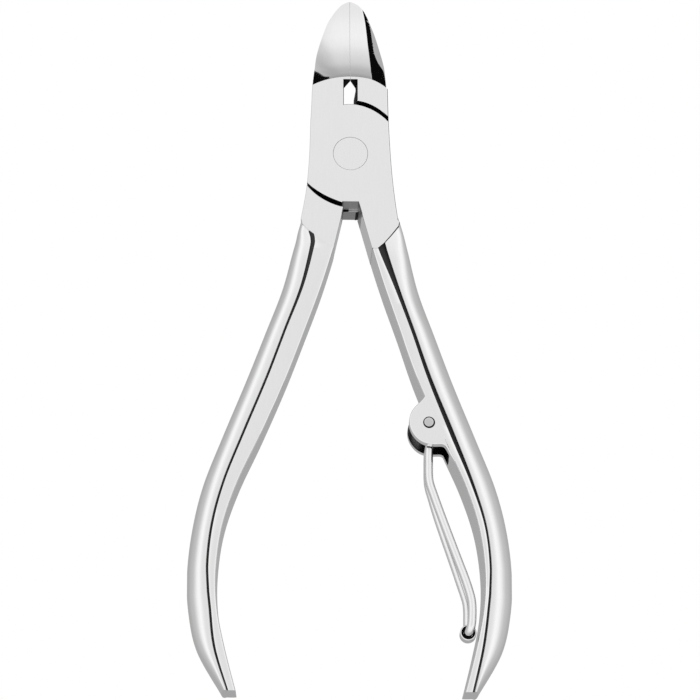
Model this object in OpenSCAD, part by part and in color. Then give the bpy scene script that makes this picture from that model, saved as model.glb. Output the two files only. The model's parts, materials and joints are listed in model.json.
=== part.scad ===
// Nail nippers with a lap joint and a fold-away wire spring.
// The joint's back face lies on Z = 0, the pivot is the Z axis, +Y points to the tip of the jaws.

/* [Joint] */
// Thickness of the lap joint, front face to back face
joint_t = 9.6; // [8:0.1:11]
// Radius of each lap plate about the pivot
plate_r = 9.15; // [8.5:0.05:9.4]
// Gap between a lap plate and the shoulder it turns in
shoulder_gap = 0.75; // [0.4:0.05:1]
// Clearance between the two lap plates
lap_gap = 0.06; // [0.03:0.01:0.1]
// Diameter of the rivet's flush heads
rivet_head_d = 6.2; // [5:0.1:7]
// Diameter of the rivet's shank
rivet_shank_d = 4.4; // [3:0.1:5]
// Depth of each rivet head
rivet_head_t = 1.6; // [1:0.1:2]

/* [Jaws] */
// Distance of the jaw tip from the pivot
tip_y = 30.7; // [28:0.1:33]
// Radius about the pivot where the flat face ends and the hollow grind begins
grind_r = 14.7; // [14.3:0.1:15.5]
// Half of the gap between the closed cutting edges
edge_gap = 0.02; // [0.01:0.01:0.05]
// Width of the relief slot behind the cutting edges
slot_w = 2.4; // [1.5:0.1:3]
// Distance from the pivot to the far end of the relief slot
slot_end = 14.1; // [13:0.1:14.4]

/* [Handles] */
// Lengthwise position of the handle ends, below the pivot
end_y = -98.5; // [-105:0.1:-95]
// Thickness of the handles next to the joint
handle_top_t = 9.4; // [8.8:0.1:9.5]
// Thickness of the handles at their ends
handle_end_t = 6.2; // [5:0.1:7]
// Width of the rounded rib on the left handle
left_rib_w = 3.1; // [2.5:0.1:3.6]
// Width of the rounded rib on the right handle
right_rib_w = 3.7; // [3:0.1:4.2]
// Bevel along the inner edges of the handles
edge_bevel = 0.35; // [0.2:0.05:0.5]

/* [Ear and spring] */
// Across position of the spring pin
pin_x = 13.9; // [13.5:0.05:14.2]
// Lengthwise position of the spring pin
pin_y = -49.85; // [-50.5:0.05:-49]
// Diameter of the spring pin
pin_d = 1.76; // [1.5:0.02:2]
// Radius of the ear cheeks about the pin
cheek_r = 3.5; // [3:0.1:3.8]
// Width of the slot between the cheeks
ear_slot = 4.4; // [4.2:0.1:4.6]
// Thickness of the ear over both cheeks
ear_t = 8; // [7.6:0.1:8.1]
// Diameter of the spring wire
wire_d = 1.55; // [1.2:0.05:1.6]
// Across position of the roller
roller_x = 20.8; // [20.5:0.05:20.85]
// Lengthwise position of the roller
roller_y = -87.35; // [-88:0.05:-86]
// Outside diameter of the roller
roller_d = 2.9; // [2.6:0.05:3]
// Length of the roller
roller_l = 2.4; // [1.8:0.1:2.6]

/* [Hidden] */
$fn = 96;
mid_z = joint_t / 2;
shoulder_r = plate_r + shoulder_gap;
running_gap = 0.06;
seat_gap = 0.01;
far = 60;
over = 1;

// Half width of the joint and of the closed jaws at each distance along Y
joint_side = [[-13.3, 8.9], [-9, 8.3], [-3.5, 7.7], [2.5, 7.3], [8, 7.05], [12, 6.95]];
jaw_side = [[16, 6.85], [19.3, 6.45], [22, 5.75], [24.3, 5], [26.6, 4.1], [28.8, 2.7], [tip_y - 0.6, 1.5]];
tip_flat = 0.3;

// Level of the hollow grind at each radius from the pivot
grind = [[0, 0], [0.35, -0.75], [1.3, -1.45], [3.3, -2.4], [6.3, -3.35], [9.3, -3.95], [13, -4.3], [18, -4.4]];
// Back of the jaws: distance along Y and level
jaw_back = [[13, 0], [18, 0.35], [23, 1.3], [27, 2.6], [tip_y + over, 4.1]];
// Flank of the right jaw: two points of its inner edge, and its drop for each millimetre outwards
flank_low = [3.9, 14, joint_t - 0.6];
flank_high = [2.3, 28.5, joint_t - 4.3];
flank_drop = 1.25;
// Thickness left at the cutting edges, and the relief's sideways growth for each millimetre of depth
edge_land = 0.45;
edge_spread = 0.27;

// Handle outline: distance along Y, outer edge, inner edge
handle_side = [
  [-11, 8.7, 2.5], [-18, 10.2, 3.1], [-25, 12.05, 5.65], [-33, 15.05, 8.5],
  [-42, 18.4, 11.6], [-52, 22.35, 15.7], [-61, 25.8, 19.65], [-69, 27.75, 22.15],
  [-77, 28.6, 23.2], [-84, 28.3, 22.95], [-91, 26.7, 21.6], [end_y, 22.6, 19.75]
];
steps_per_span = 2;
rib_angles = [115, 100, 84, 68, 52, 36, 20, 8];
rib_lean = 0.42;
ledge_step = 0.45;

// The flat face of the joint ends on the slanting line from its lowest side point to this point
neck_inner = [3.4, -17.9];
crotch = [1.2, -9.1];

cheek_face = mid_z + ear_t / 2;
// Points where the ear's outline runs into the handle
ear_root = [[13.6, -53.3], [16.4, -53.8], [17.5, -55.6], [18.6, -55.6], [15, -46], [13, -44.6], [11.35, -47.45]];
slot_r = 4.1;
hole_mouth_d = 2.06;
hole_mouth_t = 0.5;
pin_proud = 0.25;
// Spring: radius of the eyes' centre line, and levels of the eyes and the lower legs off the middle
eye_r = pin_d / 2 + 0.08 + wire_d / 2;
eye_z = 1.35;
leg_z = 2.3;
leg_spread = 0.2;
elbow_r = 1.1;
// Legs from the eyes to the elbows: across, along, and share of the way out from eye_z to leg_z
leg_line = [
  [pin_x + 0.1, pin_y - eye_r, 0], [13.95, -56, 0], [14.05, -59.9, 0.05], [14.9, -63, 0.2], [16.2, -66.9, 0.35],
  [18.8, -74.5, 0.7], [20.15, -78.4, 0.9], [21, -81.2, 1], [21.2, -83.5, 1], [21.1, -85.3, 1]
];
roller_mouth_d = 2.4;
roller_mouth_t = 0.5;
wire_sides = 12;

// Value between p1 and p2 of the smooth curve through four points
function curve(p0, p1, p2, p3, t) =
  0.5 * (2 * p1 + (p2 - p0) * t + (2 * p0 - 5 * p1 + 4 * p2 - p3) * t * t
    + (3 * p1 - p0 - 3 * p2 + p3) * t * t * t);

// The smooth curve through a list of points, with n steps between neighbours
function smooth(p, n) = let (last = len(p) - 1) [
  for (i = [0 : last - 1], j = [0 : n - 1])
    curve(p[max(i - 1, 0)], p[i], p[i + 1], p[min(i + 2, last)], j / n),
  p[last]
];

// Solid through a list of rings that all have the same number of points, listed anticlockwise
// as seen when looking from the first ring towards the last
module loft(rings) {
  m = len(rings[0]);
  last = len(rings) - 1;
  polyhedron(
    points = [for (ring = rings, p = ring) p],
    faces = concat(
      [[for (k = [m - 1 : -1 : 0]) k]],
      [for (i = [0 : last - 1], k = [0 : m - 1])
        [i * m + k, i * m + (k + 1) % m, (i + 1) * m + (k + 1) % m, (i + 1) * m + k]],
      [[for (k = [0 : m - 1]) last * m + k]]
    )
  );
}

// Turns the front lever's shape into the back lever's: left becomes right and front becomes back
module turned_over() {
  translate([0, 0, joint_t]) rotate([0, 180, 0]) children();
}

// One side of the joint and the jaw above it, seen from the front, left of the centre line
module jaw_half_outline() {
  side = concat([for (p = joint_side) if (p[0] > 0) p], smooth(jaw_side, 3));
  polygon(concat(
    [for (p = side) [-p[1], p[0]]],
    [[-tip_flat, tip_y], [-edge_gap, tip_y], [-edge_gap, 0]]
  ));
}

// Whole width of the joint down to where the handles leave it
module joint_outline() {
  polygon(concat(
    [for (p = joint_side) [-p[1], p[0]]],
    [for (i = [len(joint_side) - 1 : -1 : 0]) [joint_side[i][1], joint_side[i][0]]],
    [neck_inner, crotch, [-crotch[0], crotch[1]], [-neck_inner[0], neck_inner[1]]]
  ));
}

// Handle side of the joint: the neck between the crotch and the slanting end of the flat face
module neck_outline() {
  intersection() {
    joint_outline();
    polygon([[crotch[0], -4], [far, -4], [far, -far], [neck_inner[0], -far], crotch]);
  }
}

// Space swept by the hollow grinding wheel in front of the jaws
module hollow_grind() {
  rotate([0, 0, 45])
    rotate_extrude(angle = 90, $fn = 180)
      polygon(concat(
        [for (p = smooth(grind, 3)) [grind_r + p[0], joint_t + p[1]]],
        [[grind_r + 18, joint_t + over], [grind_r - 0.4, joint_t + over]]
      ));
}

// Everything behind the rising back of the jaws
module behind_jaws() {
  translate([-far / 2, 0, 0])
    rotate([90, 0, 90])
      linear_extrude(far)
        polygon(concat(smooth(jaw_back, 3), [[tip_y + over, -over], [13, -over]]));
}

// V-shaped relief behind the cutting edges, which leaves a thin edge at the front
module edge_relief() {
  stations = [slot_end - 0.6, 15.2, 16.5, 18.5, 21.5, 25, 28.5, tip_y + over];
  levels = [for (y = stations) joint_t - edge_land + lookup(max(y - grind_r, 0), grind)];
  loft([
    for (i = [0 : len(stations) - 1])
      let (half_w = edge_spread * (levels[i] + over))
        [[0, stations[i], levels[i]], [-half_w, stations[i], -over], [half_w, stations[i], -over]]
  ]);
}

// Flat flank on the outer side of the right jaw, beyond the rim of the flat face
module flank() {
  reach = 0.35 * (flank_high - flank_low);
  out = [6, 0, -6 * flank_drop];
  difference() {
    loft([
      for (p = [flank_low - reach, flank_high + reach])
        [p, p + out, p + out + [8, 0, 16], p + [0, 0, 8]]
    ]);
    translate([0, 0, -far]) cylinder(r = grind_r, h = 2 * far);
  }
}

// Jaw, lap plate, neck and handle of one lever, before its jaw is ground
module lever_blank(rib_w) {
  difference() {
    union() {
      linear_extrude(joint_t) jaw_half_outline();
      translate([0, 0, mid_z + lap_gap / 2])
        linear_extrude(mid_z - lap_gap / 2)
          intersection() {
            joint_outline();
            union() {
              circle(r = plate_r);
              polygon([[-far, 0], [-slot_w / 2, 0], [-slot_w / 2, 12], [-far, 12]]);
            }
          }
      linear_extrude(joint_t) neck_outline();
      handle(rib_w);
    }
    translate([-slot_w / 2, plate_r - 0.05, -over])
      cube([slot_w, slot_end - plate_r + 0.05, joint_t + 2 * over]);
    translate([0, 0, -over]) cylinder(r = shoulder_r, h = mid_z + lap_gap / 2 + over);
  }
}

// Everything that grinding takes off the jaws
module jaw_grinding() {
  hollow_grind();
  behind_jaws();
  edge_relief();
}

// Cross-section of a handle at one station: ledge on the inside, rounded rib on the outside
function handle_ring(p, rib_w) =
  let (
    down = max(0, (joint_side[0][0] - p[0]) / (joint_side[0][0] - end_y)),
    rib_h = (handle_top_t + (handle_end_t - handle_top_t) * pow(down, 3)) / 2,
    ledge_h = rib_h - ledge_step * min(1, down * 5),
    rib_r = rib_w / (1 + rib_lean),
    rib_c = p[1] - rib_r,
    crease = p[1] - rib_w - 0.25,
    front = concat(
      [[p[2], ledge_h - 1.2 * edge_bevel], [p[2] + edge_bevel, ledge_h], [crease, ledge_h]],
      [for (a = rib_angles) [rib_c + rib_r * cos(a), rib_h * sin(a)]]
    ),
    whole = concat(front, [[p[1], 0]], [for (i = [len(front) - 1 : -1 : 0]) [front[i][0], -front[i][1]]])
  ) [for (q = whole) [q[0], p[0], mid_z + q[1]]];

// Right-hand handle from the joint to its end
module handle(rib_w) {
  loft([for (p = smooth(handle_side, steps_per_span)) handle_ring(p, rib_w)]);
}

// Outline of the ear cheeks that carry the spring pin
module ear_outline() {
  union() {
    translate([pin_x, pin_y]) circle(r = cheek_r);
    polygon(concat([[pin_x, pin_y]], ear_root));
  }
}

// Slot in the ear and in the handle's inner side that the folded spring lies in
module ear_slot_outline() {
  union() {
    translate([pin_x, pin_y]) circle(r = slot_r);
    polygon([[9, pin_y], [pin_x + 3.9, pin_y], [18.3, -56.6], [18.3, -59.5], [9, -59.5]]);
  }
}

// Pin hole through both cheeks, with a wider mouth at each face
module pin_hole() {
  translate([pin_x, pin_y, -over]) {
    cylinder(d = pin_d + 2 * seat_gap, h = joint_t + 2 * over);
    cylinder(d = hole_mouth_d, h = over + joint_t - cheek_face + hole_mouth_t);
  }
  translate([pin_x, pin_y, cheek_face - hole_mouth_t]) cylinder(d = hole_mouth_d, h = hole_mouth_t + over);
}

module ear() {
  translate([0, 0, joint_t - cheek_face]) linear_extrude(ear_t) ear_outline();
}

module front_lever() {
  color([0.86, 0.87, 0.88])
    difference() {
      union() {
        lever_blank(right_rib_w);
        ear();
      }
      jaw_grinding();
      translate([0, 0, mid_z - ear_slot / 2]) linear_extrude(ear_slot) ear_slot_outline();
      pin_hole();
      translate([0, 0, -over]) cylinder(d = rivet_shank_d + 2 * seat_gap, h = joint_t + 2 * over);
      translate([0, 0, joint_t - rivet_head_t])
        cylinder(d = rivet_head_d + 2 * seat_gap, h = rivet_head_t + over);
    }
}

module back_lever() {
  color([0.84, 0.85, 0.87])
    difference() {
      turned_over() lever_blank(left_rib_w);
      jaw_grinding();
      flank();
      translate([0, 0, -over])
        cylinder(d = rivet_shank_d + 2 * running_gap, h = joint_t + 2 * over);
      translate([0, 0, -over])
        cylinder(d = rivet_head_d + 2 * running_gap, h = rivet_head_t + running_gap + over);
    }
}

module joint_rivet() {
  color([0.83, 0.84, 0.85])
    union() {
      cylinder(d = rivet_shank_d, h = joint_t);
      cylinder(d = rivet_head_d, h = rivet_head_t);
      translate([0, 0, joint_t - rivet_head_t]) cylinder(d = rivet_head_d, h = rivet_head_t);
    }
}

module spring_pin() {
  color([0.7, 0.71, 0.72])
    translate([pin_x, pin_y, joint_t - cheek_face - pin_proud])
      cylinder(d = pin_d, h = 2 * cheek_face - joint_t + 2 * pin_proud);
}

// One leg of the spring: from the eye on the pin, down along the handle, round the elbow to the crossbar
function leg_path(side) = smooth(concat(
  [for (p = leg_line) [p[0] + side * leg_spread, p[1], side * (eye_z + p[2] * (leg_z - eye_z))]],
  [
    [roller_x + 0.15, roller_y + elbow_r, side * leg_z],
    [roller_x, roller_y + 0.32 * elbow_r, side * (leg_z - 0.32 * elbow_r)],
    [roller_x, roller_y, side * (leg_z - elbow_r)]
  ]
), 3);

// Wire along a path, one ring of points to each path point
module wire(path) {
  last = len(path) - 1;
  loft([
    for (i = [0 : last])
      let (
        d = path[min(i + 1, last)] - path[max(i - 1, 0)],
        t = d / norm(d),
        u = cross(t, [1, 0, 0]) / norm(cross(t, [1, 0, 0])),
        v = cross(t, u)
      ) [for (k = [0.5 : wire_sides - 0.5])
          path[i] + wire_d / 2 * (cos(k * 360 / wire_sides) * u - sin(k * 360 / wire_sides) * v)]
  ]);
}

module wire_spring() {
  color([0.78, 0.79, 0.8])
    translate([0, 0, mid_z])
      union() {
        for (side = [-1, 1]) {
          translate([pin_x, pin_y, side * eye_z])
            rotate_extrude() translate([eye_r, 0]) circle(d = wire_d, $fn = 32);
          wire(leg_path(side));
        }
        translate([roller_x, roller_y, elbow_r - leg_z]) cylinder(d = wire_d, h = 2 * (leg_z - elbow_r));
      }
}

module spring_roller() {
  bore_d = wire_d + 2 * running_gap;
  color([0.8, 0.81, 0.82])
    translate([roller_x, roller_y, mid_z - roller_l / 2])
      difference() {
        cylinder(d = roller_d, h = roller_l);
        translate([0, 0, -over]) cylinder(d = bore_d, h = roller_l + 2 * over);
        translate([0, 0, -over]) cylinder(d = roller_mouth_d, h = roller_mouth_t + over);
        translate([0, 0, roller_l - roller_mouth_t]) cylinder(d = roller_mouth_d, h = roller_mouth_t + over);
      }
}

front_lever();
back_lever();
joint_rivet();
spring_pin();
wire_spring();
spring_roller();
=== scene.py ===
"""Looks of the nail nippers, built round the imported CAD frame.

Shapes are worked out in millimetres in the frame's own axes: the joint's back face lies on Z = 0, the
pivot is the Z axis, and +Y points to the tip of the jaws. MM turns them into Blender's metres.
The front lever has the left jaw, the right handle and the ear for the spring. The back lever has the right
jaw and the left handle. It is built like the front one without the ear, turned half round about the Y axis,
and then its jaw is ground.
"""

import json
import math

import bpy
import bmesh
import numpy as np
from mathutils import Matrix, Vector


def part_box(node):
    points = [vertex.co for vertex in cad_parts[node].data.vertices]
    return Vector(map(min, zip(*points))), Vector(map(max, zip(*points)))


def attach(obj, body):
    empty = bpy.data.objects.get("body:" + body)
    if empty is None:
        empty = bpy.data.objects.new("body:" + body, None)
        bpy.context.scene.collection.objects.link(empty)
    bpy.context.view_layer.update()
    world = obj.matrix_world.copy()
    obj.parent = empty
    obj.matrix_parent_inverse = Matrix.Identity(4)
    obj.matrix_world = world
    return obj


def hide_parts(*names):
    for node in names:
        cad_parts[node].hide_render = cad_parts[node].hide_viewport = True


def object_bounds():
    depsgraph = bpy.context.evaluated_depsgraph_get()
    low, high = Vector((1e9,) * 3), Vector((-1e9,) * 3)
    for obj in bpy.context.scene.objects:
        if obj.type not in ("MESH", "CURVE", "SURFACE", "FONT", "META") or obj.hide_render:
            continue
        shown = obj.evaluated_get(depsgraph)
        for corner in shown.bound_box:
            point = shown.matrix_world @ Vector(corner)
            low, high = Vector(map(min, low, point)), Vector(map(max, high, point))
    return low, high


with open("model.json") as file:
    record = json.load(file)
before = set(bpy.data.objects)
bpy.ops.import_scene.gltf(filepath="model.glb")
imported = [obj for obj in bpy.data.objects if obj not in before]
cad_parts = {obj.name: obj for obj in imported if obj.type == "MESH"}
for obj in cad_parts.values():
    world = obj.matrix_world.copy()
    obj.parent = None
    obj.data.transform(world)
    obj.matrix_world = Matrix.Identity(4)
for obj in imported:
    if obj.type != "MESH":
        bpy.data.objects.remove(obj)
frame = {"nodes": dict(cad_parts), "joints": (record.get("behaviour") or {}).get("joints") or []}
cad_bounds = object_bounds()

MM = 0.001
JOINTS = {joint["name"]: joint for joint in frame["joints"]}


def joint_place(name):
    """A joint's place in millimetres."""
    return np.array(JOINTS[name]["pos_m"]) / MM


# ---- sizes, in millimetres ----

CAD_LOW, CAD_HIGH = (np.array(corner) / MM for corner in cad_bounds)
THICK = CAD_HIGH[2]
MID = THICK / 2
TIP_Y = CAD_HIGH[1]
END_Y = CAD_LOW[1]
PIN = joint_place("spring_swing")
ROLLER = joint_place("roller_spin")
PIN_R = (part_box("spring_pin")[1][0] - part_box("spring_pin")[0][0]) / 2 / MM
PIN_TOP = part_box("spring_pin")[1][2] / MM
ROLLER_R = (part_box("spring_roller")[1][0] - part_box("spring_roller")[0][0]) / 2 / MM
ROLLER_HALF = (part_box("spring_roller")[1][2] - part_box("spring_roller")[0][2]) / 2 / MM
HEAD_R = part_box("joint_rivet")[1][0] / MM

# Edge of the front lap plate, and of the shoulder it turns in: angle about the pivot and radius
FRONT_PLATE = [(0, 9.2), (48, 9.24), (65, 9.33), (78, 9.43), (87, 9.48), (100, 9.45), (195, 9.4), (212, 9.52)]
FRONT_PLATE += [(219, 9.48), (229, 9.26), (241, 9.14), (252, 9.17), (263, 9.38), (275, 9.5), (300, 9.3)]
FRONT_SHOULDER = [(0, 9.8), (50, 9.87), (57, 9.93), (65, 10.03), (74, 10.13), (84, 10.17), (100, 10.15)]
FRONT_SHOULDER += [(190, 9.85), (221, 9.87), (244, 9.9), (263, 10.1), (280, 10.1), (320, 9.85)]
# The same for the back lap plate and its shoulder
BACK_PLATE = [(0, 9.55), (120, 9.55), (240, 9.55)]
BACK_SHOULDER = [(0, 9.83), (120, 9.83), (240, 9.83)]
# How much narrower the left side is than the right at each distance along Y
LEFT_SLIM = [(-12.8, 0.1), (-7, 0.35), (0, 0.3), (6, 0.15), (12, 0.25)]
LEFT_SLIM += [(17, 0.5), (22, 0.3), (26, 0.2), (31, 0.1)]
# Rivet: radius of its shank, and depth of the head at each face
SHANK_R = 2.2
HEAD_DEPTH = 1.6
# Slot below the jaws: half its width, and where it starts and ends
SLOT_HALF = 1.2
SLOT_START = 7
SLOT_END = 14.1
# Where the joint ends and the jaws start
JAW_START = 11.9
# Gap between the two lap plates
LAP_GAP = 0.06
# Gap between each cutting edge and the middle line
EDGE_GAP = 0.02
# Gap round what turns in a bore
BORE_GAP = 0.06
# How far cutters reach: well outside the tool, and just past a face
FAR = 60
OVER = 1.2

# Half width of the joint and of the closed jaws at each distance along Y
JOINT_SIDE = [(-12.8, 8.85), (-9, 8.3), (-3.5, 7.7), (2.5, 7.3), (8, 7.05), (12, 6.95)]
JAW_SIDE = [(16, 6.85), (19.3, 6.45), (22, 5.75), (24.3, 5), (26.6, 4.1), (28.8, 2.7), (TIP_Y - 0.6, 1.5)]
# Half width of the tip
TIP_FLAT = 0.3
# Each neck: crotch, end of the crotch wall painted dark grey as shade, end of the flat face, then the step
# out to the side
RIGHT_NECK = [(1.42, -9.15), (2.05, -11.35), (3.87, -17.9)]
RIGHT_NECK += [(4.85, -17.95), (6.1, -16.85), (7.55, -15.1), (8.7, -13.6)]
LEFT_NECK = [(1.1, -9.42), (1.5, -11.35), (3.0, -17.9)]
LEFT_NECK += [(4.9, -16.7), (6.6, -15.2), (7.8, -14.2), (8.65, -13.4)]
# How far both sides lean to the left for each millimetre upwards
LEAN_LEFT = 0.05
# Radius of the rounded edges of the joint and jaws
EDGE_ROUND = 0.3
# Broken edge of the lap plates and their shoulders: depth below the face and distance from the wall
RIM_ROUND = [(0.16, 0), (0.07, 0.03), (0, 0.11)]

# Hollow grind: radius at which it leaves the flat face, and its level at each distance beyond that
GRIND_R = 14.7
GRIND = [(0, 0), (0.35, -0.75), (1.3, -1.45), (3.3, -2.4), (6.3, -3.35), (9.3, -3.95), (13, -4.3), (18, -4.4)]
# Back of the jaws: distance along Y and level
JAW_BACK = [(13, 0), (18, 0.35), (23, 1.3), (27, 2.6), (TIP_Y + OVER, 4.1)]

# Handles: distance along Y, outer edge, inner edge, width of the bead, width of the crease beside it,
# and how square the bead is (2 is round)
RIGHT_HANDLE = [
    (-11, 8.5, 2.6, 3.9, 1.5, 7),
    (-14, 9.42, 2.95, 4.05, 1.45, 6.5),
    (-18, 10.5, 3.92, 4.1, 1.35, 3.8),
    (-25, 12.3, 6.05, 3.7, 0.75, 2.2),
    (-33, 15.15, 8.75, 3.8, 0.55, 2.1),
    (-42, 18.4, 11.7, 4.0, 0.62, 2.1),
    (-52, 22.35, 15.75, 4.0, 0.75, 2.0),
    (-61, 25.8, 19.65, 4.1, 0.45, 2.0),
    (-69, 27.75, 22.15, 3.75, 0.28, 2.0),
    (-77, 28.6, 23.2, 3.8, 0.28, 2.0),
    (-84, 28.3, 22.95, 3.95, 0.32, 2.0),
    (-91, 26.7, 21.6, 3.3, 0.34, 2.0),
    (END_Y + 0.05, 22.5, 19.8, 0.8, 0.3, 2.0),
]
LEFT_HANDLE = [
    (-11, 8.4, 2.3, 1.4, 0.6, 5),
    (-14, 9.3, 2.35, 1.9, 0.6, 4.4),
    (-16, 9.75, 2.6, 2.75, 0.6, 3.8),
    (-18, 10.3, 3.02, 3.12, 0.58, 3.4),
    (-25, 12.15, 5.15, 3.3, 0.45, 2.8),
    (-33, 15.1, 8.0, 3.35, 0.34, 2.8),
    (-42, 18.5, 11.35, 3.5, 0.32, 2.8),
    (-52, 22.5, 15.5, 3.5, 0.32, 2.6),
    (-61, 25.9, 19.5, 3.45, 0.3, 2.3),
    (-69, 27.75, 22.1, 3.25, 0.32, 2.2),
    (-77, 28.6, 23.15, 3.35, 0.33, 2.2),
    (-84, 28.3, 22.95, 3.6, 0.34, 2.2),
    (-91, 26.7, 21.6, 2.85, 0.34, 2.2),
    (END_Y + 0.05, 22.4, 19.7, 0.9, 0.25, 2.2),
]
# How far the front edge of each inner wall stands back from its rear edge, at each distance along Y
RIGHT_LEAN = [(-98.5, 0.3), (-91, 0.4), (-77, 0.5), (-61, 0.5), (-45, 0.2), (-36, 0)]
LEFT_LEAN = [(-98.5, 0.25), (-77, 0.35), (-61, 0.3), (-45, 0)]
# Ear: its free edge, and the points where it lies in the handle
EAR_EDGE = [
    (13.5, -44.5),
    (13.0, -45.35),
    (12.1, -46.4),
    (11.15, -47.45),
    (10.6, -48.6),
    (10.42, -49.8),
    (10.62, -51.0),
    (11.2, -52.15),
    (12.15, -53.15),
    (13.35, -53.75),
    (14.8, -53.95),
    (16.3, -53.95),
    (16.95, -54.45),
    (17.55, -55.6),
]
EAR_ROOT = [(18.35, -57.0), (18.8, -57.0), (17.45, -54.2), (15.7, -50), (14.2, -46.4), (13.75, -44.6)]
# How far the ear's faces lie below the ledge, and the radius of its edges
EAR_SINK = 0.015
EAR_ROUND = 0.22
# Slot between its cheeks: width, and radius of the round end about the pin
EAR_SLOT = 5.2
EAR_SLOT_R = 4.1
# Spring leg: across, along, height off the middle, and how far the back leg lies to one side of the front one
LEG = [
    (14.65, -52.3, 1.35, 0),
    (14.05, -54.0, 1.35, 0),
    (13.95, -57, 1.35, 0),
    (14.05, -59.9, 1.4, -0.02),
    (14.85, -62.6, 1.5, -0.12),
    (16.32, -66.9, 1.65, -0.3),
    (19.03, -74.5, 1.95, -0.45),
    (20.22, -77.8, 2.1, -0.55),
    (21.15, -80.9, 2.2, -0.5),
    (21.42, -82.7, 2.25, -0.55),
    (21.42, -84.8, 2.28, -0.55),
    (21.3, -86.2, 2.2, -0.4),
    (21.05, -87.0, 1.8, -0.2),
    (20.86, -87.3, 1.35, -0.05),
    (20.8, -87.35, 0.9, 0),
]
# Radius of the wire, and of the middle line of its eye, and the eye's height off the middle
WIRE_R = 0.775
EYE_R = 1.735
EYE_Z = 1.35
# Flank of the right jaw: its inner edge as X and Y
FLANK_EDGE = [
    (1.2, 32.8),
    (1.75, 30.9),
    (2.27, 28.98),
    (2.72, 26.82),
    (2.98, 24.61),
    (3.2, 22.35),
    (3.44, 20.03),
    (3.68, 17.18),
    (3.85, 14.52),
    (3.95, 12.5),
    (3.95, 9.8),
]
# The flank's drop for each millimetre outwards, and the width and drop of the bevel on its inner edge
FLANK_DROP = 1.25
FLANK_BEVEL = (0.18, 0.09)
# Rim of the flat face below the flank: an arc, and the Y below which the flank keeps under it
RIM_CENTRE = (0.4, 5.2)
RIM_R = 9.59
RIM_TOP = 15.6
# The flank's outer edge: distance along Y and X
SIDE_LINE = [
    (12.9, 6.8),
    (13.8, 6.65),
    (15.5, 6.5),
    (17.7, 6.2),
    (19.3, 5.1),
    (21.3, 4.4),
    (24.3, 4.02),
    (26.9, 3.6),
    (28.8, 2.7),
    (31.9, 0.6),
]
# Thickness of the handles at the joint and at their ends, and rings between two stations
HANDLE_TOP_T = 9.4
HANDLE_END_T = 6.2
HANDLE_STEPS = 18

# Finishes, as material indices on the levers. All but the polished and the ground finish are painted shade:
# near black in recesses and creases, dark grey on the crotch walls, dark steel in the ear's slot
POLISHED, RECESS_SHADE, GROUND, CROTCH_SHADE, CREASE_SHADE, SLOT_SHADE = range(6)


# ---- materials ----


# Scale of the grain in the steel, in grains per metre: it runs along the tool
GRAIN = (3000, 300, 3000)


def steel(name, colour, roughness, spread=0.04):
    """Bare steel with a fine grain in its tone and polish."""
    material = bpy.data.materials.new(name)
    material.use_nodes = True
    nodes, links = material.node_tree.nodes, material.node_tree.links
    shader = nodes["Principled BSDF"]
    shader.inputs["Metallic"].default_value = 1.0
    place = nodes.new("ShaderNodeTexCoord")
    mapping = nodes.new("ShaderNodeMapping")
    mapping.inputs["Scale"].default_value = GRAIN
    noise = nodes.new("ShaderNodeTexNoise")
    noise.inputs["Scale"].default_value = 1.0
    noise.inputs["Detail"].default_value = 4.0
    links.new(place.outputs["Object"], mapping.inputs["Vector"])
    links.new(mapping.outputs["Vector"], noise.inputs["Vector"])
    rough = nodes.new("ShaderNodeMapRange")
    rough.inputs["To Min"].default_value = roughness - spread
    rough.inputs["To Max"].default_value = roughness + spread
    links.new(noise.outputs["Fac"], rough.inputs["Value"])
    links.new(rough.outputs["Result"], shader.inputs["Roughness"])
    tint = nodes.new("ShaderNodeMix")
    tint.data_type = "RGBA"
    tint.inputs["A"].default_value = (*[c * 0.96 for c in colour], 1)
    tint.inputs["B"].default_value = (*colour, 1)
    links.new(noise.outputs["Fac"], tint.inputs["Factor"])
    links.new(tint.outputs["Result"], shader.inputs["Base Color"])
    return material


def painted_shade_steel(name, level):
    """Dark, unpolished steel: its dark tone is painted shade in creases, recesses and slots."""
    material = steel(name, (level,) * 3, 0.6, spread=0.1)
    shader = material.node_tree.nodes["Principled BSDF"]
    shader.inputs["Metallic"].default_value = 0.0
    shader.inputs["Specular IOR Level"].default_value = 0.12
    return material


# Past the polished and the ground steel, these materials are painted shade: near black in recesses and
# creases, dark grey on the crotch walls, and dark steel in the ear's slot.
MATERIALS = [
    steel("polished_lever", (0.87, 0.87, 0.87), 0.07, spread=0.03),
    painted_shade_steel("recess_painted_shade", 0.004),
    steel("ground_steel", (0.8, 0.8, 0.8), 0.18),
    steel("crotch_painted_shade", (0.33, 0.33, 0.33), 0.3, spread=0.12),
    painted_shade_steel("crease_painted_shade", 0.035),
    steel("slot_painted_shade", (0.1, 0.1, 0.1), 0.2),
]
RIVET_STEEL = steel("rivet_steel", (0.865, 0.865, 0.865), 0.13)
PIN_STEEL = steel("pin_steel", (0.6, 0.6, 0.6), 0.3)
WIRE_STEEL = steel("spring_wire", (0.85, 0.85, 0.85), 0.14)
ROLLER_STEEL = steel("roller_steel", (0.85, 0.85, 0.85), 0.14)


# ---- curves, solids and booleans ----


def smooth(points, steps):
    """The Catmull-Rom curve through a list of points, with a number of steps between neighbours."""
    p = np.array(points, float)
    last = len(p) - 1
    curve = []
    for i in range(last):
        a, b, c, d = p[max(i - 1, 0)], p[i], p[i + 1], p[min(i + 2, last)]
        for t in np.arange(steps) / steps:
            bend, twist = 2 * a - 5 * b + 4 * c - d, 3 * b - a - 3 * c + d
            curve.append(0.5 * (2 * b + (c - a) * t + bend * t**2 + twist * t**3))
    return np.array(curve + [p[last]])


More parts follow.
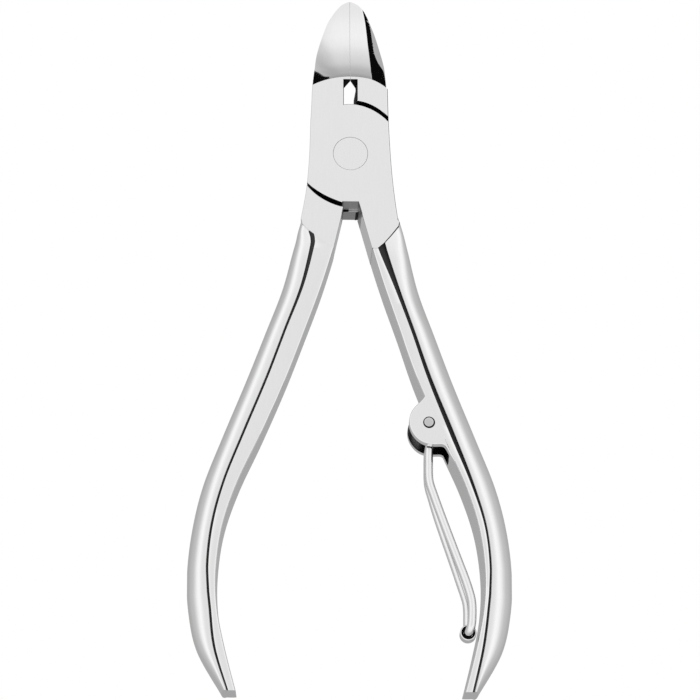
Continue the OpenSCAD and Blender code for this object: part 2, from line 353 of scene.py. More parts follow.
def solid(name, verts, faces, finishes):
    """A closed mesh object from points in millimetres, its faces turned outwards."""
    mesh = bpy.data.meshes.new(name)
    mesh.from_pydata([Vector(v) * MM for v in verts], [], faces)
    for material in MATERIALS:
        mesh.materials.append(material)
    for face, finish in zip(mesh.polygons, finishes):
        face.material_index = finish
    built = bmesh.new()
    built.from_mesh(mesh)
    bmesh.ops.recalc_face_normals(built, faces=built.faces)
    built.to_mesh(mesh)
    built.free()
    thing = bpy.data.objects.new(name, mesh)
    bpy.context.scene.collection.objects.link(thing)
    return thing


def skin(name, rings, finish=POLISHED, closed=False):
    """A solid through rings of equally many points, closed to a loop or capped at both ends.

    finish is one index, or one for each side of the rings.
    """
    count = len(rings[0])
    sides = [finish] * count if isinstance(finish, int) else finish
    verts = [tuple(p) for ring in rings for p in ring]
    faces, finishes = [], []
    for i in range(len(rings) if closed else len(rings) - 1):
        a, b = i * count, (i + 1) % len(rings) * count
        for k in range(count):
            n = (k + 1) % count
            faces.append((a + k, a + n, b + n, b + k))
            finishes.append(sides[k])
    if not closed:
        faces += [tuple(range(count)), tuple(range(len(verts) - count, len(verts)))]
        finishes += [sides[0]] * 2
    return solid(name, verts, faces, finishes)


def grown(outline, by):
    """A closed outline moved outwards by a distance, its corners mitred."""
    p = np.array(outline, float)
    x, y = p[:, 0], p[:, 1]
    turn = np.sign(np.sum(x * np.roll(y, -1) - np.roll(x, -1) * y))
    edge = np.roll(p, -1, axis=0) - p
    after = turn * np.stack([edge[:, 1], -edge[:, 0]], 1) / np.linalg.norm(edge, axis=1)[:, None]
    before = np.roll(after, 1, axis=0)
    return p + by * (before + after) / (1 + np.sum(before * after, axis=1))[:, None]


def prism(name, outline, low, high, finish=POLISHED):
    """An outline drawn up between two levels."""
    return skin(name, [[(x, y, z) for x, y in outline] for z in (low, high)], finish)


def rounded_levels(low, high, radius, steps=6):
    """Levels and insets of a slab between two levels whose upper and lower edges are rounded."""
    turns = np.radians(np.linspace(0, 90, steps + 1))
    lower = [(low + radius * (1 - math.sin(a)), radius * (math.cos(a) - 1)) for a in turns[::-1]]
    upper = [(high - radius * (1 - math.sin(a)), radius * (math.cos(a) - 1)) for a in turns]
    return lower + upper


def slab(name, outline, levels, finish=POLISHED):
    """An outline stacked through (level, inset) pairs."""
    return skin(name, [[(x, y, z) for x, y in grown(outline, by)] for z, by in levels], finish)


def spun(name, profile, finish=POLISHED, steps=192, centre=(0, 0), start=0, sweep=360):
    """A closed profile of (radius, level) points turned about a line parallel to Z."""
    full = sweep == 360
    turns = np.radians(start + sweep * np.arange(steps if full else steps + 1) / steps)
    x, y = centre
    rings = [[(x + r * math.cos(a), y + r * math.sin(a), z) for r, z in profile] for a in turns]
    return skin(name, rings, finish, closed=full)


def drum(name, radius, low, high, finish=POLISHED, steps=96, centre=(0, 0)):
    """A plain round cutter."""
    turns = np.radians(360 * np.arange(steps) / steps)
    outline = [(centre[0] + radius * math.cos(a), centre[1] + radius * math.sin(a)) for a in turns]
    return prism(name, outline, low, high, finish)


def combine(target, operation, *tools):
    """Joins tools to target, cuts them from it, or keeps what they share. The tools are used up."""
    for tool in tools:
        step = target.modifiers.new("combine", "BOOLEAN")
        step.object = tool
        step.operation = operation
        step.solver = "MANIFOLD"
        graph = bpy.context.evaluated_depsgraph_get()
        made = bpy.data.meshes.new_from_object(target.evaluated_get(graph))
        target.modifiers.clear()
        target.data = made
        bpy.data.objects.remove(tool)
    return target


def turned_over(thing):
    """Turns the front lever's shape into the back lever's: left becomes right and front becomes back."""
    co = np.array([v.co for v in thing.data.vertices])
    co[:, 0] *= -1
    co[:, 2] = THICK * MM - co[:, 2]
    thing.data.vertices.foreach_set("co", co.ravel())
    thing.data.update()
    return thing


# Edges with a sharper turn than this, in degrees, aren't shaded smooth
SHARP_ANGLE = 28


def finish_mesh(thing):
    """Smooth shading between sharp edges, with normals weighted so that flat faces stay flat."""
    mesh = thing.data
    weld = bmesh.new()
    weld.from_mesh(mesh)
    bmesh.ops.remove_doubles(weld, verts=weld.verts, dist=1e-7)
    bmesh.ops.dissolve_degenerate(weld, edges=weld.edges, dist=1e-7)
    weld.to_mesh(mesh)
    weld.free()
    mesh.shade_smooth()
    mesh.set_sharp_from_angle(angle=math.radians(SHARP_ANGLE))
    weighted = thing.modifiers.new("even_normals", "WEIGHTED_NORMAL")
    weighted.keep_sharp = True
    weighted.weight = 60
    return thing


# ---- levers ----


def whole_outline(neck):
    """Outline of joint, jaws and necks together, both sides. The left side is slimmer."""
    full = [(w, y) for y, w in smooth(JOINT_SIDE + JAW_SIDE, 6)] + [(TIP_FLAT, TIP_Y)]
    slim = [(x - float(np.interp(y, *zip(*LEFT_SLIM))) * min(1, x / 3), y) for x, y in full]
    right, left = (full, slim) if neck is RIGHT_NECK else (slim, full)
    left = [(-x, y) for x, y in reversed(left)]
    return right + left + [(-x, y) for x, y in reversed(neck)] + neck


def handle_half_t(y):
    """Half thickness of a handle over its bead."""
    down = max(0, (JOINT_SIDE[0][0] - y) / (JOINT_SIDE[0][0] - END_Y))
    return (HANDLE_TOP_T + (HANDLE_END_T - HANDLE_TOP_T) * down**3) / 2


def ledge_half_t(y):
    """Half thickness of a handle over its ledge, which leaves the flat face level with it.

    It sinks 0.3 mm below the bead between Y = -15 and -40, and rises 0.15 mm towards the joint above -30.
    """
    step = 0.3 * min(1, max(0, (-15 - y) / 25)) - 0.15 * min(1, max(0, (y + 30) / 11))
    return min(handle_half_t(y) - step, THICK / 2 - 0.008)


EAR_TOP = MID + ledge_half_t(PIN[1]) - EAR_SINK


def handle_ring(station, lean):
    """Cross-section of a right-hand handle: bevelled ledge, crease and rounded bead, front half then back."""
    y, outer, inner, bead, crease, square = station
    # The curve through the stations may not swing out of the CAD model's box
    outer = min(outer, CAD_HIGH[0] - 0.02)
    top, ledge = handle_half_t(y), ledge_half_t(y)
    # The bead rises out of the joint's side over 7 mm, and the crease fades out near the handle's end
    top -= 0.45 * max(0, 1 - max(0, -12.5 - y) / 7) ** 1.5
    depth = (0.5 * crease + 0.08) * min(1, max(0, (y - END_Y - 1.6) / 3))
    bevel_x, bevel_z = 0.32, 0.42
    bed = outer - bead
    lip = bed - crease
    crest = bed + 0.3
    front = [(inner, 0)]
    for a in np.radians(np.linspace(0, 90, 5)):
        front.append((inner + bevel_x * (1 - math.cos(a)), ledge - bevel_z * (1 - math.sin(a))))
    front.append((inner + 0.4 * (lip - inner), min(ledge + 0.035, THICK / 2 - 0.006)))
    front += [(lip - 0.12, ledge), (lip - 0.04, ledge - 0.03), (lip, ledge - 0.11), (bed, ledge - depth)]
    front += [(bed + 0.03, top - 0.22), (bed + 0.08, top - 0.1), (bed + 0.17, top - 0.025), (crest, top)]
    wide = outer - crest
    for a in np.radians(np.linspace(90, 0, 31))[1:]:
        across, up = math.cos(a) ** (2 / square), math.sin(a) ** (2 / square)
        front.append((crest + wide * across, top * up))
    front[-1] = (outer, 0)
    back = [(x, -z) for x, z in reversed(front[1:-1])]
    side = 1 if lean > 0 else -1
    ring = []
    for x, z in front + back:
        inward = min(1, max(0, (lip - x) / (lip - inner)))
        ring.append((x + abs(lean) * inward * (1 + side * z / ledge) / 2, y, MID + z))
    return ring


def ring_finishes(count):
    """Finish of each side of a handle ring: the inner wall is ground, the crease is painted near black as
    shade.
    """
    half = count // 2
    front = [GROUND] + [POLISHED] * 8 + [CREASE_SHADE, CREASE_SHADE] + [POLISHED] * (half - 11)
    return front + front[::-1]


def handle(stations):
    """A handle. The left one is built turned over, so its inner wall leans the other way."""
    leans, side = (RIGHT_LEAN, 1) if stations is RIGHT_HANDLE else (LEFT_LEAN, -1)
    rings = []
    for station in smooth(stations, HANDLE_STEPS):
        rings.append(handle_ring(station, side * float(np.interp(station[0], *zip(*leans)))))
    return skin("handle", rings, ring_finishes(len(rings[0])))


def round_solid(name, profile, finish=POLISHED, steps=128, centre=(0, 0)):
    """A solid turned about a line parallel to Z, on which its profile of (radius, level) starts and ends."""
    turns = np.radians(360 * np.arange(steps) / steps)
    inner = profile[1:-1]
    verts = [(centre[0], centre[1], profile[0][1])]
    for a in turns:
        verts += [(centre[0] + r * math.cos(a), centre[1] + r * math.sin(a), z) for r, z in inner]
    verts.append((centre[0], centre[1], profile[-1][1]))
    per, last = len(inner), len(verts) - 1
    faces = []
    for i in range(steps):
        a, b = 1 + i * per, 1 + (i + 1) % steps * per
        faces.append((0, b, a))
        faces += [(a + k, b + k, b + k + 1, a + k + 1) for k in range(per - 1)]
        faces.append((a + per - 1, b + per - 1, last))
    return solid(name, verts, faces, [finish] * len(faces))


def round_outline(edge, mirrored=False):
    """Closed outline about the pivot from (angle, radius) pairs."""
    angles, radii = zip(*smooth(edge + [(360 + edge[0][0], edge[0][1])], 12)[:-1])
    side = -1 if mirrored else 1
    outline = []
    for a in np.arange(0, 360, 1.25):
        radius = float(np.interp(a, angles, radii, period=360))
        outline.append((side * radius * math.cos(math.radians(a)), radius * math.sin(math.radians(a))))
    return outline


def darkened(thing, low, high):
    """Paints the faces whose middle lies between two levels with the recess's near-black shade."""
    for face in thing.data.polygons:
        if low < face.center.z / MM < high:
            face.material_index = RECESS_SHADE
    return thing


def lap_plate(low, edge):
    """Lap plate. Its front rim is rounded, and the slope above it is cut off by the flat face. Its wall below
    the rim is painted near black as shade.
    """
    levels = [(low, 0)] + [(THICK - depth, -by) for depth, by in RIM_ROUND]
    levels.append((THICK + OVER, levels[-1][1] - OVER))
    return darkened(slab("lap_plate", round_outline(edge), levels), low + 0.1, THICK - 0.2)


def lever_blank(stations, neck, plate, shoulder, end_finish_or_shade, slot_lean):
    """Jaw, lap plate, neck and handle of one lever, before its jaw is ground.

    slot_lean moves the wall of its half of the slot at its back face and at its front face.
    """
    low = MID + LAP_GAP / 2
    crotch, inner = neck[0], neck[2]
    left_half = [(-FAR, 0), (-EDGE_GAP, 0), (-EDGE_GAP, JAW_START), (-FAR, JAW_START)]
    jaw = [(-FAR, 0), (-FAR, FAR), (-EDGE_GAP, FAR), (-EDGE_GAP, 0)]
    slot = [(-SLOT_HALF, SLOT_START), (SLOT_HALF, SLOT_START), (SLOT_HALF, SLOT_END), (-SLOT_HALF, SLOT_END)]
    flare = [(-OVER, OVER + 0.1), (0, 0.1), (0.1, 0)]
    flare += [(THICK - z, by) for z, by in reversed(flare)]
    throat = [crotch, (crotch[0], -4), (FAR, -4), (FAR, -FAR)]
    throat += [(inner[0] - 1.5, -FAR), (inner[0] - 1.5, inner[1])]
    lever = prism("lever", jaw, -OVER, THICK + OVER)
    combine(lever, "UNION", prism("left_half", left_half, low, THICK + OVER))
    # The slot's walls are painted near black as shade.
    cutter = slab("slot", slot, flare, RECESS_SHADE)
    for vert in cutter.data.vertices:
        if vert.co.x < 0:
            vert.co.x += float(np.interp(vert.co.z / MM, (0, THICK), slot_lean)) * MM
    combine(lever, "DIFFERENCE", cutter)
    # The neck's walls at the crotch are painted dark grey as shade.
    combine(lever, "UNION", lap_plate(low, plate), prism("neck", throat, -OVER, THICK + OVER, CROTCH_SHADE))
    combine(lever, "INTERSECT", envelope(neck, end_finish_or_shade))
    combine(lever, "UNION", handle(stations))
    # The shoulder's walls are painted near black as shade.
    levels = [(-OVER, RIM_ROUND[-1][1] + OVER)] + RIM_ROUND[::-1] + [(low, 0)]
    cutter = slab("shoulder", round_outline(shoulder, mirrored=True), levels)
    return combine(lever, "DIFFERENCE", darkened(cutter, 0.2, low + 0.1))


def envelope(neck, end_finish_or_shade):
    """Everything inside the outer faces of the joint and jaws. The crotch walls are painted dark grey as
    shade.

    Edges are lightly rounded. Both sides lean a little to the left, and the front right edge and the back
    left edge have a narrow bevel.
    """
    outline = whole_outline(neck)
    half = (len(outline) - 2 * len(neck)) // 2
    lean = np.zeros(len(outline))
    lean[: 2 * half] = -LEAN_LEFT * np.clip(np.abs(np.array(outline)[: 2 * half, 0]) / 4, 0, 1)
    lean[0] = lean[2 * half - 1] = 0
    # The crotch walls are painted dark grey as shade; the step at the neck's end takes the end finish,
    # near-black painted shade on the front lever.
    sides = [POLISHED] * len(outline)
    step = len(neck) - 3
    sides[2 * half + step + 1 : 2 * half + step + 4] = [CROTCH_SHADE] * 3
    sides[-1 - step :] = [end_finish_or_shade] * (step + 1)
    rings = []
    for z, by in rounded_levels(0, THICK, EDGE_ROUND):
        ring = grown(outline, 0.4 * by)
        ring[:, 0] += lean * (z - MID)
        if z > MID:
            ring[1:half, 0] += 0.4 * by
        else:
            ring[half : 2 * half - 1, 0] -= 0.4 * by
        rings.append([(x, y, z) for x, y in ring])
    return skin("envelope", rings, sides)


def hollow_grind():
    """Space swept by the grinding wheel in front of the jaws."""
    profile = [(GRIND_R + r, THICK + z) for r, z in smooth(GRIND, 8)]
    profile += [(GRIND_R + 18, THICK + OVER), (GRIND_R - 0.3, THICK + OVER)]
    return spun("hollow_grind", profile, POLISHED, steps=240, start=50, sweep=80)


def behind_jaws():
    """Everything behind the rising back of the jaws."""
    line = [(y, z) for y, z in smooth(JAW_BACK, 8)] + [(TIP_Y + OVER, -OVER), (13, -OVER)]
    return skin("behind_jaws", [[(x, y, z) for y, z in line] for x in (-FAR / 2, FAR / 2)])


def edge_relief():
    """V-shaped relief behind the cutting edges, which leaves a thin edge at the front. Its walls are painted
    near black as shade.
    """
    radii, drops = zip(*GRIND)
    edge_t, spread = 0.45, 0.27
    rings = []
    for y in (SLOT_END - 0.6, 15.2, 16.5, 18.5, 21.5, 25, 28.5, TIP_Y + OVER):
        level = THICK + float(np.interp(max(y - GRIND_R, 0), radii, drops)) - edge_t
        wide = spread * (level + OVER)
        rings.append([(0, y, level), (-wide, y, -OVER), (wide, y, -OVER)])
    return skin("edge_relief", rings, RECESS_SHADE)


def grind_jaw(lever):
    """Cuts the front, back and inner side of a lever's jaw, and the wedge in its crotch."""
    cutters = hollow_grind(), behind_jaws(), edge_relief(), edge_line(), crotch_wedge()
    return combine(lever, "DIFFERENCE", *cutters)


def dish_level(x, y):
    """Level of the hollow grind at a point."""
    radii, drops = zip(*smooth(GRIND, 8))
    return THICK + float(np.interp(max(math.hypot(x, y) - GRIND_R, 0), radii, drops))


def flank_level(x, y):
    """Level of the flank's inner edge, which keeps below the rim of the flat face."""
    return dish_level(x, max(y, RIM_TOP))


def flank():
    """Flank on the outer side of the right jaw, beyond the rim of the flat face, with a thin bevel."""
    bevel = np.array([FLANK_BEVEL[0], 0, -FLANK_BEVEL[1]])
    rings = []
    for x, y in smooth(FLANK_EDGE, 4):
        p = np.array([x, y, flank_level(x, y)])
        edge = p + bevel
        rings.append([p, edge, edge + [6, 0, -6 * FLANK_DROP], p + [14, 0, 9], p + [0, 0, 8]])
    cutter = skin("flank", rings, POLISHED)
    return combine(cutter, "DIFFERENCE", drum("rim", RIM_R, -FAR, FAR, steps=256, centre=RIM_CENTRE))


def outer_side():
    """Steep rounded side of the right jaw between its flank and the silhouette of its back."""
    edge_y, edge_x = zip(*sorted((y, x) for x, y in FLANK_EDGE))
    side_y, side_x = zip(*smooth(JAW_SIDE, 6))
    bevel_wide, bevel_drop = FLANK_BEVEL
    outward = 0.05
    rings = []
    for y, line in smooth(SIDE_LINE, 5):
        inner = float(np.interp(y, edge_y, edge_x))
        top = flank_level(inner, y) - bevel_drop - FLANK_DROP * (line - inner - bevel_wide)
        foot = float(np.interp(y, *zip(*JAW_BACK))) + 0.1
        slope = np.array([max(float(np.interp(y, side_y, side_x)) - line, 0.05), 0, foot - top])
        p = np.array([line, y, top])
        bulge = [p + slope * t + [outward * math.sin(math.pi * t), 0, 0] for t in np.linspace(0, 1, 6)]
        above, below = p - slope * 0.35, p + slope * 1.6
        rings.append([above] + bulge + [below, below + [9, 0, 0], above + [9, 0, 0]])
    return skin("outer_side", rings, POLISHED)


def edge_line():
    """Fine V between the two cutting edges on the front, painted near black as shade."""
    half, above, below = 0.05, 0.03, 0.07
    rings = []
    for y in np.linspace(SLOT_END - 0.5, TIP_Y + 0.5, 24):
        level = dish_level(0, y)
        rings.append([(-half, y, level + above), (0, y, level - below), (half, y, level + above)])
    return skin("edge_line", rings, CREASE_SHADE)


def crotch_wedge():
    """Open wedge between the two lap plates at the left end of the crotch, its walls painted near black as
    shade.
    """
    rings = [[(-1.6, y, MID + 0.45), (-1.6, y, MID - 0.25), (0.35, y, MID + 0.05)] for y in (-10.5, -8.6)]
    return skin("crotch_wedge", rings, RECESS_SHADE)


def ear():
    """Ear that carries the spring pin. Its faces lie just below the handle's ledges."""
    outline = [tuple(p) for p in smooth(EAR_EDGE, 6)] + EAR_ROOT
    turns = np.radians(np.linspace(0, 90, 5))
    inset = [(EAR_ROUND * (1 - math.sin(a)), EAR_ROUND * (math.cos(a) - 1)) for a in turns]
    levels = [(-1, drop, by) for drop, by in reversed(inset)] + [(1, drop, by) for drop, by in inset]
    rings = []
    for side, drop, by in levels:
        edge = grown(outline, by)
        rings.append([(x, y, MID + side * (ledge_half_t(y) - EAR_SINK - drop)) for x, y in edge])
    return skin("ear", rings)


def ear_slot():
    """Slot through the ear and into the handle that the folded spring lies in. Its walls are painted dark as
    shade.
    """
    x, y = PIN[:2]
    pocket = [(9, y - 0.5), (x + 3.6, y - 0.5), (17.5, -54.2), (17.6, -55.9), (9, -55.9)]
    low, high = MID - EAR_SLOT / 2, MID + EAR_SLOT / 2
    cutter = prism("ear_slot", pocket, low, high, SLOT_SHADE)
    return combine(cutter, "UNION", drum("round_end", EAR_SLOT_R, low, high, SLOT_SHADE, centre=(x, y)))


def bore(radius, mouth, depth, top, centre=(0, 0)):
    """Cutter for a hole right through, with a wider mouth at each face. top is the front face's level. The
    hole's walls are painted near black as shade.
    """
    low, flare = THICK - top, 0.02
    front = [(radius, top - depth), (mouth, top - depth), (mouth, top - flare)]
    front += [(mouth + flare, top), (mouth + flare + OVER, top + OVER)]
    back = [(r, THICK - z) for r, z in reversed(front)]
    return round_solid("bore", [(0, low - OVER)] + back + front + [(0, top + OVER)], RECESS_SHADE, centre=centre)


def front_lever():
    """Left jaw, front lap plate, right handle and ear. The pin's mouth in the ear is worn to one side. The
    mouth's walls are painted near black as shade, and so is the step at the neck's end.
    """
    lever = lever_blank(RIGHT_HANDLE, RIGHT_NECK, FRONT_PLATE, BACK_SHOULDER, CREASE_SHADE, (0.12, 0))
    combine(lever, "UNION", ear())
    worn = (PIN[0] + 0.03, PIN[1] - 0.1)
    mouth = bore(PIN_R + 0.01, PIN_R + 0.06, 0.5, EAR_TOP, PIN[:2])
    worn_mouth = drum("worn_mouth", PIN_R + 0.18, EAR_TOP - 0.5, THICK + OVER, RECESS_SHADE, centre=worn)
    combine(lever, "DIFFERENCE", ear_slot(), mouth, worn_mouth)
    grind_jaw(lever)
    return combine(lever, "DIFFERENCE", bore(SHANK_R + 0.01, HEAD_R + 0.01, HEAD_DEPTH, THICK))


def back_lever():
    """Right jaw, back lap plate and left handle. It turns round the rivet with a little play."""
    lever = turned_over(lever_blank(LEFT_HANDLE, LEFT_NECK, BACK_PLATE, FRONT_SHOULDER, POLISHED, (0, 0.3)))
    grind_jaw(lever)
    combine(lever, "DIFFERENCE", flank(), outer_side())
    rivet_bore = bore(SHANK_R + BORE_GAP, HEAD_R + BORE_GAP, HEAD_DEPTH + BORE_GAP, THICK)
    return combine(lever, "DIFFERENCE", rivet_bore)


# ---- rivet, pin, spring and roller ----


def joint_rivet():
    """Rivet with a flush head at each face and slightly broken edges."""
    edge = 0.03
    half = [(SHANK_R, THICK - HEAD_DEPTH), (HEAD_R, THICK - HEAD_DEPTH)]
    half += [(HEAD_R, THICK - edge), (HEAD_R - edge, THICK)]
    profile = [(0, 0)] + [(r, THICK - z) for r, z in reversed(half)] + half + [(0, THICK)]
    return round_solid("joint_rivet_finished", profile, steps=192)


def spring_pin():
    """Pin with turned, slightly domed ends."""
    half = [(PIN_R, PIN_TOP - 0.12), (PIN_R - 0.05, PIN_TOP - 0.05)]
    half += [(PIN_R - 0.14, PIN_TOP - 0.015), (PIN_R / 2, PIN_TOP - 0.004)]
    profile = [(0, THICK - PIN_TOP)] + [(r, THICK - z) for r, z in reversed(half)] + half + [(0, PIN_TOP)]
    return round_solid("spring_pin_finished", profile, steps=96, centre=PIN[:2])


def spring_roller():
    """Roller with rounded ends, and a bore that widens at both mouths. The walls of its bore and mouths are
    painted near black as shade.
    """
    bore_r, mouth_r, edge = WIRE_R + BORE_GAP, 1.2, 0.2
    turns = np.radians(np.linspace(0, 90, 7))
    end = [(ROLLER_R - edge * (1 - math.cos(a)), ROLLER_HALF - edge * (1 - math.sin(a))) for a in turns]
    end += [(mouth_r + 0.04, ROLLER_HALF), (mouth_r, ROLLER_HALF - 0.05)]
    end += [(mouth_r, ROLLER_HALF - 0.5), (bore_r, ROLLER_HALF - 0.5)]
    profile = [(r, ROLLER[2] + z) for r, z in end] + [(r, ROLLER[2] - z) for r, z in reversed(end)]
    finishes = [POLISHED] * 8 + [RECESS_SHADE] * 5 + [POLISHED] * 9
    return spun("spring_roller_finished", profile, finishes, steps=96, centre=ROLLER[:2])


def tube(path, radius, sides=24):
    """Points of a round wire along a path: rings that don't twist, drawn in at both cut ends."""
    path = np.array(path, float)
    ahead = np.gradient(path, axis=0)
    ahead /= np.linalg.norm(ahead, axis=1)[:, None]
    across = np.cross(ahead[0], (1, 0.3, 0.2))
    rings = []
    turns = np.radians(360 * np.arange(sides) / sides)
    for i, (p, t) in enumerate(zip(path, ahead)):
        across = across - t * (across @ t)
        across /= np.linalg.norm(across)
        over = np.cross(t, across)
        rings.append([p + radius * (math.cos(a) * across + math.sin(a) * over) for a in turns])
    ends = []
    for ring, p, t, way in ((rings[0], path[0], ahead[0], -1), (rings[-1], path[-1], ahead[-1], 1)):
        ends.append([p + (q - p) * 0.8 + way * t * 0.1 for q in ring])
    return [ends[0]] + rings + [ends[1]]


def leg(side):
    """Path of one leg of the spring, from its cut end round the eye on the pin and down to the crossbar."""
    x, y = PIN[:2]
    turns = np.radians(np.arange(235, -26, -10))
    eye = [(x + EYE_R * math.cos(a), y + EYE_R * math.sin(a), EYE_Z) for a in turns]
    shift = [(px + (0 if side > 0 else dx), py, pz) for px, py, pz, dx in LEG]
    points = np.array(eye + [tuple(p) for p in smooth([eye[-1]] + shift, 6)[1:]])
    points[:, 2] = MID + side * points[:, 2]
    return points


def wire_spring():
    """Spring bent from one wire: an eye at each upper end, two legs, and the crossbar for the roller."""
    path = np.concatenate([leg(1), leg(-1)[::-1]])
    return skin("wire_spring_finished", tube(path, WIRE_R))


PIECES = [
    (front_lever, "front_lever", "front_lever", "polished_lever", None),
    (back_lever, "back_lever", "back_lever", "polished_lever", None),
    (joint_rivet, "front_lever", "joint_rivet", "rivet_steel", RIVET_STEEL),
    (spring_pin, "front_lever", "spring_pin", "pin_steel", PIN_STEEL),
    (wire_spring, "wire_spring", "wire_spring", "spring_wire", WIRE_STEEL),
    (spring_roller, "spring_roller", "spring_roller", "roller_steel", ROLLER_STEEL),
]
for make, body, node, slot, material in PIECES:
    piece = make()
    piece.name = node + "_finished"
    if material:
        piece.data.materials[POLISHED] = material
    finish_mesh(piece)
    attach(piece, body)
    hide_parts(node)

# The hidden CAD nodes carry the same steel
for node in frame["nodes"].values():
    node.data.materials.clear()
    node.data.materials.append(MATERIALS[POLISHED])


# ---- stage, light and camera ----


def panel(name, corners):
    """Flat stage piece through corners in metres."""
    mesh = bpy.data.meshes.new(name)
    mesh.from_pydata([Vector(c) for c in corners], [], [tuple(range(len(corners)))])
    thing = bpy.data.objects.new(name, mesh)
    bpy.context.scene.collection.objects.link(thing)
    return thing


def glow(name, strength):
    """Material that gives off even white light and reflects nothing."""
    material = bpy.data.materials.new(name)
    material.use_nodes = True
    nodes, links = material.node_tree.nodes, material.node_tree.links
    nodes.clear()
    out = nodes.new("ShaderNodeOutputMaterial")
    light = nodes.new("ShaderNodeEmission")
    light.inputs["Strength"].default_value = strength
    links.new(light.outputs["Emission"], out.inputs["Surface"])
    return material


# White paper under and all round the tool, in metres. Only the camera sees it
SIDE, LOW, HIGH = 3.0, -0.0005, 3.0
CORNERS = [(-SIDE, -SIDE), (SIDE, -SIDE), (SIDE, SIDE), (-SIDE, SIDE)]
papers = [panel("floor_seen", [(x, y, LOW) for x, y in CORNERS])]
for number, (a, b) in enumerate(zip(CORNERS, CORNERS[1:] + CORNERS[:1])):
    papers.append(panel("backdrop_%d" % number, [(*a, LOW), (*b, LOW), (*b, HIGH), (*a, HIGH)]))
white_paper = glow("white_paper", 1.0)
for paper in papers:
    paper.data.materials.append(white_paper)
    paper.visible_glossy = False
    paper.visible_diffuse = False
    paper.visible_shadow = False


# Light that a dark card gives off
NEAR_BLACK = 0.003


def wall(name, line):
    """Upright dark card that only reflections see. Its line gives X, Y and the lower and upper level."""
    verts = [Vector((x, y, z)) * MM for x, y, low, high in line for z in (low, high)]
    faces = [(2 * i, 2 * i + 1, 2 * i + 3, 2 * i + 2) for i in range(len(line) - 1)]
    mesh = bpy.data.meshes.new(name)
    mesh.from_pydata(verts, [], faces)
    mesh.materials.append(glow(name + "_black", NEAR_BLACK))
    card = bpy.data.objects.new(name, mesh)
    bpy.context.scene.collection.objects.link(card)
    card.visible_camera = False
    return card


# The cards beside the jaws, whose reflections are the black areas on the jaws seen from the camera
RIGHT_CARD = [(11.5, 46, 1, 9), (7.6, 26.5, 1, 9), (16, 20, -1, 10), (16, 12, -1, 10)]
RIGHT_CARD += [(16, 11.9, 7.8, 12), (16, -8, 7.8, 12)]
LEFT_CARD = [(-6, 31, -14, 8.9), (-7.6, 31, -14, 11.6), (-10, 31, -14, 16)]
LEFT_CARD += [(-14, 31, -14, 20.5), (-26, 29, -14, 26)]
wall("right_card", RIGHT_CARD)
wall("left_card", LEFT_CARD)


def ramp(tree, value, stops, interpolation="LINEAR"):
    """Grey level that follows a value through (place, level) stops, with places between 0 and 1."""
    made = tree.nodes.new("ShaderNodeValToRGB")
    made.color_ramp.interpolation = interpolation
    elements = made.color_ramp.elements
    while len(elements) > 1:
        elements.remove(elements[0])
    elements[0].position = stops[0][0]
    elements[0].color = (*[stops[0][1]] * 3, 1)
    for place, level in stops[1:]:
        elements.new(place).color = (*[level] * 3, 1)
    tree.links.new(value, made.inputs["Fac"])
    return made.outputs["Color"]


# Darkness of the veil, once upwards and once across: direction, length in millimetres, (place, level) stops
VEIL = [
    ((1.1, 0, 1), 20, [(0.2, 0), (0.3, 0.16), (0.44, 0.32), (0.57, 0.3), (0.68, 0.12), (0.85, 0)]),
    ((-1, 0, 0), 10, [(0.12, 0), (0.8, 1)]),
]


def shade():
    """Thin veil that only reflections see, just beyond the tip on the left. It is densest at mid height."""
    corners = [(0, 33, -2), (-30, 33, -2), (-30, 33, 50), (0, 33, 50)]
    card = panel("left_shade", [Vector(c) * MM for c in corners])
    card.visible_camera = False
    material = glow("veil", NEAR_BLACK)
    nodes, links = material.node_tree.nodes, material.node_tree.links
    place = nodes.new("ShaderNodeTexCoord")
    density = nodes.new("ShaderNodeMath")
    density.operation = "MULTIPLY"
    for (slope, length, stops), socket in zip(VEIL, density.inputs):
        along = nodes.new("ShaderNodeVectorMath")
        along.operation = "DOT_PRODUCT"
        along.inputs[1].default_value = [part / (length * MM) for part in slope]
        links.new(place.outputs["Object"], along.inputs[0])
        links.new(ramp(material.node_tree, along.outputs["Value"], stops, "EASE"), socket)
    mix = nodes.new("ShaderNodeMixShader")
    links.new(density.outputs["Value"], mix.inputs["Fac"])
    links.new(nodes.new("ShaderNodeBsdfTransparent").outputs["BSDF"], mix.inputs[1])
    links.new(nodes["Emission"].outputs["Emission"], mix.inputs[2])
    links.new(mix.outputs["Shader"], nodes["Material Output"].inputs["Surface"])
    card.data.materials.append(material)


shade()

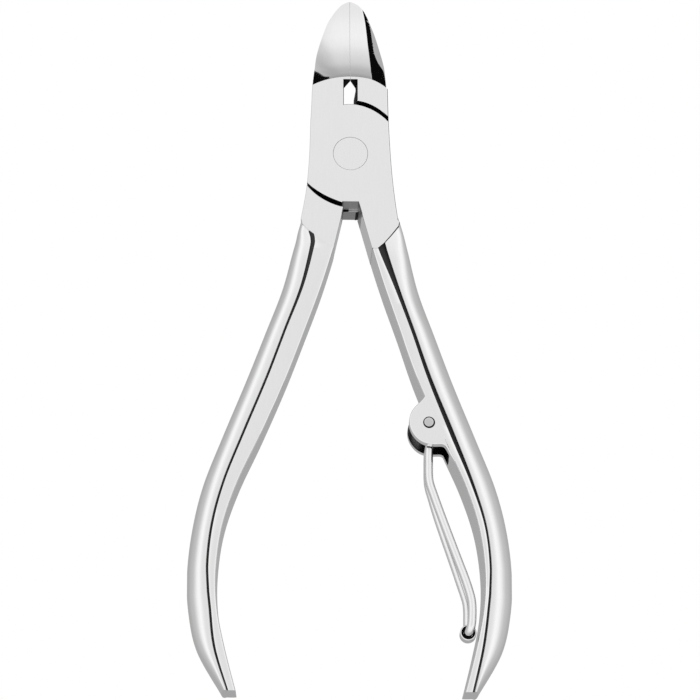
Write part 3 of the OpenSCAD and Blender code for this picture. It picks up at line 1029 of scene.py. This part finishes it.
# Light by direction, as (place, level) stops from below to above and from the handles' side to the jaws' side
HEIGHTS = [(0.0, 0.43), (0.1, 0.46), (0.28, 0.55), (0.5, 0.63), (0.64, 0.79), (0.75, 0.98), (0.85, 1.09)]
HEIGHTS += [(0.9, 1.08), (0.94, 0.99), (0.975, 0.89), (1.0, 0.85)]
FAR_END = [(0.0, 1.0), (0.75, 1.0), (0.85, 0.9), (0.92, 0.77), (0.97, 0.69), (1.0, 0.67)]
world = bpy.data.worlds.new("studio")
bpy.context.scene.world = world
world.use_nodes = True
wn, wl = world.node_tree.nodes, world.node_tree.links
coord = wn.new("ShaderNodeTexCoord")
spread = wn.new("ShaderNodeMapping")
spread.inputs["Location"].default_value = (0.5, 0.5, 0.5)
spread.inputs["Scale"].default_value = (0.5, 0.5, 0.5)
wl.new(coord.outputs["Generated"], spread.inputs["Vector"])
split = wn.new("ShaderNodeSeparateXYZ")
wl.new(spread.outputs["Vector"], split.inputs["Vector"])
both = wn.new("ShaderNodeMix")
both.data_type = "RGBA"
both.blend_type = "MULTIPLY"
both.inputs["Factor"].default_value = 1.0
wl.new(ramp(world.node_tree, split.outputs["Z"], HEIGHTS), both.inputs["A"])
wl.new(ramp(world.node_tree, split.outputs["Y"], FAR_END), both.inputs["B"])
wl.new(both.outputs["Result"], wn["Background"].inputs["Color"])
wn["Background"].inputs["Strength"].default_value = 1.0

# The camera stands about 17 degrees off the straight view from above, in millimetres
VIEW_FROM = (-30.127, -300.024, 869.750)
VIEW_TO = (-0.090, -36.890, 9.6)
camera = bpy.data.cameras.new("camera")
camera.sensor_width = 36
camera.lens = 260.9
camera.clip_end = 10
eye = bpy.data.objects.new("camera", camera)
bpy.context.scene.collection.objects.link(eye)
eye.location = Vector(VIEW_FROM) * MM
ahead = (Vector(VIEW_TO) * MM - eye.location).normalized()
right = ahead.cross(Vector((0, 1, 0))).normalized()
eye.rotation_euler = Matrix((right, right.cross(ahead), -ahead)).transposed().to_euler()
bpy.context.scene.camera = eye
bpy.context.scene.view_settings.view_transform = "Standard"
